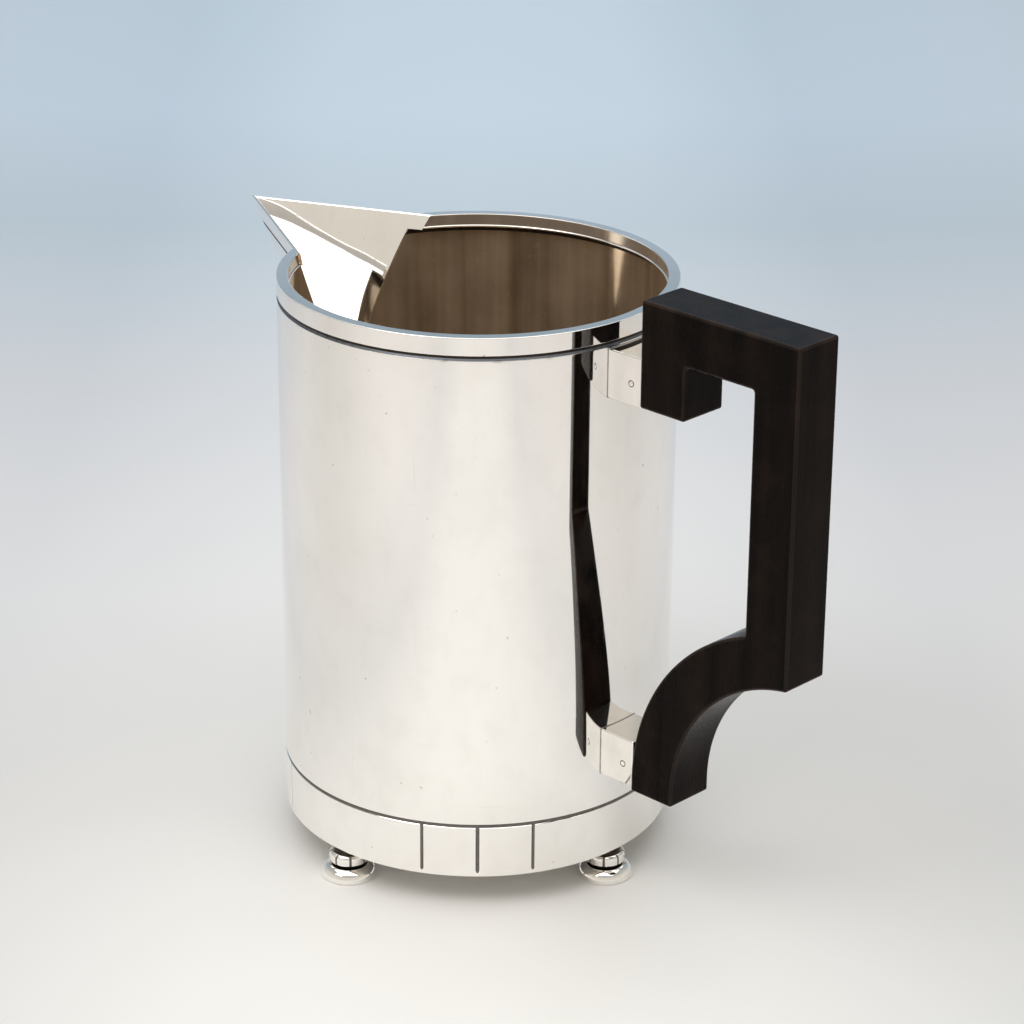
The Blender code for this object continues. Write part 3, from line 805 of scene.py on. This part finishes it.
def satin_material(name, dark, light, metal, rough):
    """Satin silver of the inside, brushed upright, warm and dulled by age."""
    material, tree, shader = new_material(name)
    shader.inputs["Metallic"].default_value = metal
    broad = stretched_noise(tree, 70, (1, 1, 0.05), detail=3)
    fine = stretched_noise(tree, 420, (1, 1, 0.02), detail=3)
    stain = stretched_noise(tree, 60, (1, 1, 1), detail=5)
    specks = remap(tree, stretched_noise(tree, 600, (1, 1, 1), detail=1), 0.68, 0.78, 0, 1)
    brushed = weighted_sum(tree, broad, 0.5, fine, 0.2)
    mixed = combine(tree, "ADD", brushed, combine(tree, "MULTIPLY", stain, 0.3))
    paleness = combine(tree, "ADD", remap(tree, mixed, 0.37, 0.63, 0, 1),
                       combine(tree, "MULTIPLY", specks, 0.25))
    tree.links.new(tint(tree, paleness, dark, light), shader.inputs["Base Color"])
    tree.links.new(remap(tree, mixed, 0.3, 0.7, rough, 2 * rough), shader.inputs["Roughness"])
    tree.links.new(bump(tree, fine, 0.10, 0.00005).outputs["Normal"], shader.inputs["Normal"])
    return material


def oxide_material(name, dark, light):
    """Dull metal: dark in the engraved lines and grey as solder. In darker colours it also makes the
    painted shade of the groove, of the wall and band under the collar, round the pins and in the feet.
    """
    material, tree, shader = new_material(name)
    shader.inputs["Metallic"].default_value = 1.0
    grain = stretched_noise(tree, 700, (1, 1, 1), detail=3)
    tree.links.new(tint(tree, grain, dark, light), shader.inputs["Base Color"])
    tree.links.new(remap(tree, grain, 0.3, 0.7, 0.30, 0.5), shader.inputs["Roughness"])
    return material


def ebony_material(name, dark, light, gloss):
    """Dense black wood with a satin polish, rubbed by use: fine pores, dim brown streaks and scuffs. In
    lighter colours it is the handle's painted edge highlight.
    """
    material, tree, shader = new_material(name)
    shader.inputs["Specular IOR Level"].default_value = gloss
    streaks = stretched_noise(tree, 160, (1, 1, 0.06), detail=5)
    pores = stretched_noise(tree, 2200, (1, 1, 0.08), detail=2)
    scuffs = remap(tree, stretched_noise(tree, 90, (1, 1, 1), detail=6), 0.50, 0.72, 0, 1)
    paleness = combine(tree, "ADD", remap(tree, streaks, 0.35, 0.7, 0, 0.7),
                       combine(tree, "MULTIPLY", scuffs, 0.5))
    tree.links.new(tint(tree, paleness, dark, light), shader.inputs["Base Color"])
    rough = combine(tree, "ADD", remap(tree, pores, 0.3, 0.7, 0.22, 0.30),
                    combine(tree, "MULTIPLY", scuffs, 0.10))
    tree.links.new(rough, shader.inputs["Roughness"])
    tree.links.new(bump(tree, pores, 0.12, 0.00005).outputs["Normal"], shader.inputs["Normal"])
    return material


# ---------------------------------------------------------------- studio
CAMERA_AZIMUTH = math.radians(44.74)
CAMERA_DISTANCE = 932.1 * MM      # level distance from the pitcher's axis
CAMERA_ABOVE_RIM = 309.4 * MM
CAMERA_PITCH = math.radians(22.54)
CAMERA_YAW = math.radians(-0.645)
CAMERA_ROLL = math.radians(0.443)
CAMERA_LENS = 115.97              # focal length in mm, on Blender's usual 36 mm sensor
FLOOR_REACH = 6.0
OVERHEAD_GLOW = 1.41
BACKDROP_GLOW = 1.0
KEY_GLOW = 2.0
LIGHT_COLOUR = (1.0, 0.99, 0.965)
BACKDROP_COLOUR = (0.84, 0.94, 1.0)

# metres behind the pitcher's axis, and the paper's colour there, with light and shade painted in:
# painted shade under the pitcher, brighter in front of it
PAPER_COLOUR_AND_PAINTED_LIGHT = ((-0.60, (0.90, 0.88, 0.86)), (-0.30, (0.92, 0.905, 0.89)), (-0.12, (0.83, 0.825, 0.81)),
               (0.0, (0.80, 0.79, 0.775)), (0.17, (0.83, 0.83, 0.84)), (0.37, (0.74, 0.76, 0.80)),
               (0.62, (0.60, 0.70, 0.79)), (0.82, (0.68, 0.80, 0.92)), (1.10, (0.71, 0.84, 0.96)))
# metres to either side of the axis, and how the paper is toned there: painted shade, with a dip beside
# the pitcher and a falloff further out
PAPER_PAINTED_SIDE_SHADE = ((0.0, (1.0, 1.0, 1.0)), (0.08, (0.985, 0.985, 0.985)), (0.17, (0.88, 0.885, 0.90)),
               (0.30, (0.92, 0.91, 0.91)), (0.55, (0.87, 0.85, 0.84)))
PAINTED_POOL_FRONT = 0.10             # centre of a painted pool of light: the paper is brightest this far in front of the axis
PAINTED_POOL_CORE, PAINTED_POOL_REACH = 0.05, 0.20
PAINTED_POOL_LIFT, PAINTED_POOL_REST = 1.10, 0.97     # how the painted pool of light tones the paper within the core and beyond the reach
# height of a direction (0 level, 1 straight up), and the tent's glow there
SKY_BEHIND = ((0.0, (0.46, 0.57, 0.68)), (0.30, (0.37, 0.46, 0.55)), (0.35, (0.26, 0.33, 0.38)),
              (0.55, (0.25, 0.27, 0.29)), (1.0, (0.30, 0.30, 0.30)))
SKY_IN_FRONT = ((0.0, (0.72, 0.69, 0.62)), (0.36, (0.68, 0.64, 0.57)), (0.60, (0.50, 0.48, 0.45)),
                (1.0, (0.30, 0.30, 0.30)))

BACK = Vector((-math.sin(CAMERA_AZIMUTH), math.cos(CAMERA_AZIMUTH), 0))
RIGHT = Vector((math.cos(CAMERA_AZIMUTH), math.sin(CAMERA_AZIMUTH), 0))


def make_camera():
    """The photo's camera, fitted to the outlines of the pitcher in it."""
    data = bpy.data.cameras.new("camera")
    data.lens = CAMERA_LENS
    camera = bpy.data.objects.new("camera", data)
    bpy.context.collection.objects.link(camera)
    place = Vector((AXIS_X, 0, RIM_Z + CAMERA_ABOVE_RIM)) - BACK * CAMERA_DISTANCE
    turn = Matrix.Rotation(CAMERA_AZIMUTH + CAMERA_YAW, 4, "Z")
    tilt = Matrix.Rotation(math.pi / 2 - CAMERA_PITCH, 4, "X")
    roll = Matrix.Rotation(CAMERA_ROLL, 4, "Z")
    camera.matrix_world = Matrix.Translation(place) @ turn @ tilt @ roll
    bpy.context.scene.camera = camera


def make_floor():
    """Wide sheet of paper with light and shade painted into its colour: warm white in front of the
    pitcher with a painted pool of light there, painted shade beside it, and sky blue far behind it.
    """
    mesh = bpy.data.meshes.new("floor")
    reach = FLOOR_REACH
    mesh.from_pydata([(-reach, -reach, 0), (reach, -reach, 0), (reach, reach, 0), (-reach, reach, 0)],
                     [], [(0, 1, 2, 3)])
    floor = bpy.data.objects.new("floor", mesh)
    bpy.context.collection.objects.link(floor)
    floor.matrix_world = Matrix.Translation((AXIS_X, 0, 0)) @ Matrix.Rotation(CAMERA_AZIMUTH, 4, "Z")
    material, tree, shader = new_material("paper")
    where = add(tree, "ShaderNodeTexCoord")
    split = add(tree, "ShaderNodeSeparateXYZ")
    tree.links.new(where.outputs["Object"], split.inputs["Vector"])
    # the paper's colour from front to back, with painted light and shade
    graded = ramp(tree, split.outputs["Y"], PAPER_COLOUR_AND_PAINTED_LIGHT)
    # painted shade to either side of the pitcher
    edges = ramp(tree, combine(tree, "ABSOLUTE", split.outputs["X"], 0), PAPER_PAINTED_SIDE_SHADE)
    # painted pool of light in front of the pitcher
    off_painted_pool = add(tree, "ShaderNodeVectorMath", operation="DISTANCE")
    tree.links.new(where.outputs["Object"], off_painted_pool.inputs[0])
    off_painted_pool.inputs[1].default_value = (0, -PAINTED_POOL_FRONT, 0)
    painted_pool = remap(tree, off_painted_pool.outputs["Value"], PAINTED_POOL_CORE, PAINTED_POOL_REACH, PAINTED_POOL_LIFT, PAINTED_POOL_REST)
    toned = add(tree, "ShaderNodeVectorMath", operation="MULTIPLY")
    tree.links.new(graded, toned.inputs[0])
    tree.links.new(edges, toned.inputs[1])
    lit = add(tree, "ShaderNodeVectorMath", operation="SCALE")
    tree.links.new(toned.outputs["Vector"], lit.inputs[0])
    tree.links.new(painted_pool, lit.inputs["Scale"])
    tree.links.new(lit.outputs["Vector"], shader.inputs["Base Color"])
    shader.inputs["Roughness"].default_value = 0.8
    shader.inputs["Specular IOR Level"].default_value = 0.1
    mesh.materials.append(material)


def make_world():
    """Light tent: a bright, warm room in front, a darker blue wall behind and a dim ceiling."""
    world = bpy.data.worlds.new("studio")
    bpy.context.scene.world = world
    world.use_nodes = True
    tree = world.node_tree
    where = add(tree, "ShaderNodeTexCoord")
    split = add(tree, "ShaderNodeSeparateXYZ")
    tree.links.new(where.outputs["Generated"], split.inputs["Vector"])
    towards_back = add(tree, "ShaderNodeVectorMath", operation="DOT_PRODUCT")
    tree.links.new(where.outputs["Generated"], towards_back.inputs[0])
    towards_back.inputs[1].default_value = BACK
    behind = ramp(tree, split.outputs["Z"], SKY_BEHIND)
    in_front = ramp(tree, split.outputs["Z"], SKY_IN_FRONT)
    side = remap(tree, towards_back.outputs["Value"], 0.15, 0.85, 0, 1)
    colour_a, colour_b, colour_out = 6, 7, 2      # the sockets that a Mix node has for colours
    mix = add(tree, "ShaderNodeMix", data_type="RGBA")
    tree.links.new(side, mix.inputs["Factor"])
    tree.links.new(in_front, mix.inputs[colour_a])
    tree.links.new(behind, mix.inputs[colour_b])
    tree.links.new(mix.outputs[colour_out], tree.nodes["Background"].inputs["Color"])


def soft_box(name, right, front, height, width, depth, glow, colour=LIGHT_COLOUR):
    """Rectangular light and its place, right of and in front of the pitcher as the camera sees it."""
    data = bpy.data.lights.new(name, "AREA")
    data.shape = "RECTANGLE"
    data.size, data.size_y = width, depth
    data.energy = glow * math.pi * width * depth
    data.color = colour
    light = bpy.data.objects.new(name, data)
    bpy.context.collection.objects.link(light)
    place = Vector((AXIS_X, 0, height)) + RIGHT * right - BACK * front
    return light, place


def make_lights():
    """Wide soft boxes over the pitcher and over the paper behind it, and a key light front left."""
    for name, front, height, width, depth, glow, colour in (
            ("overhead", 0.25, 1.15, 1.56, 1.35, OVERHEAD_GLOW, LIGHT_COLOUR),
            ("backdrop", -1.1, 1.1, 1.6, 0.8, BACKDROP_GLOW, BACKDROP_COLOUR)):
        light, place = soft_box(name, 0.0, front, height, width, depth, glow, colour)
        light.matrix_world = Matrix.Translation(place) @ Matrix.Rotation(CAMERA_AZIMUTH, 4, "Z")
    light, place = soft_box("key", -0.80, 0.62, 1.30, 0.8, 0.8, KEY_GLOW)
    aim = (Vector((AXIS_X, 0, 0)) - place).to_track_quat("-Z", "Y")
    light.matrix_world = Matrix.Translation(place) @ aim.to_matrix().to_4x4()


def main():
    silver = silver_material("polished_silver", SILVER_TONES)
    # the sockets' silver: the same marks, in darker tones
    socket_silver = silver_material("darker_socket_silver", SOCKET_TONES)
    inside = satin_material("satin_silver_inside", (0.34, 0.25, 0.165), (0.73, 0.575, 0.41), 0.70, 0.065)
    band = satin_material("satin_silver_band", (0.47, 0.385, 0.31), (0.68, 0.59, 0.50), 0.66, 0.08)
    oxide = oxide_material("oxidised_silver", (0.10, 0.091, 0.085), (0.26, 0.243, 0.23))
    # bluish painted shade for the groove's slope
    groove_shade = oxide_material("groove_painted_shade", (0.074, 0.078, 0.086), (0.20, 0.215, 0.235))
    solder = oxide_material("grey_solder", (0.16, 0.15, 0.145), (0.62, 0.60, 0.57))
    # near black painted shade, for hollows and gaps where shade falls
    painted_shade = oxide_material("painted_shade_dark", (0.020, 0.015, 0.012), (0.07, 0.055, 0.045))
    ebony = ebony_material("ebony", (0.0018, 0.0009, 0.0006), (0.0130, 0.0072, 0.0050), 0.055)
    # lighter, glossier ebony for the painted highlight on the handle's edges
    edge_highlight = ebony_material("ebony_painted_edge_highlight", (0.008, 0.0045, 0.0033), (0.028, 0.017, 0.0115), 0.13)
    make_body_shell(silver, oxide, inside, painted_shade, groove_shade)
    make_rim_collar(silver, band, painted_shade)
    make_base_plate(silver, inside)
    make_plate("spout_plate_left", -1, silver, oxide)
    make_plate("spout_plate_right", 1, silver, oxide)
    for place in ("upper", "lower"):
        make_socket(place + "_socket", socket_silver, solder)
        make_pin(place + "_pin", silver, painted_shade)
    make_handle(ebony, edge_highlight)
    for number in range(1, 5):
        make_foot(number, silver, oxide, painted_shade)
    make_floor()
    make_world()
    make_lights()
    make_camera()


main()
bpy.context.scene.view_settings.view_transform = "Standard"
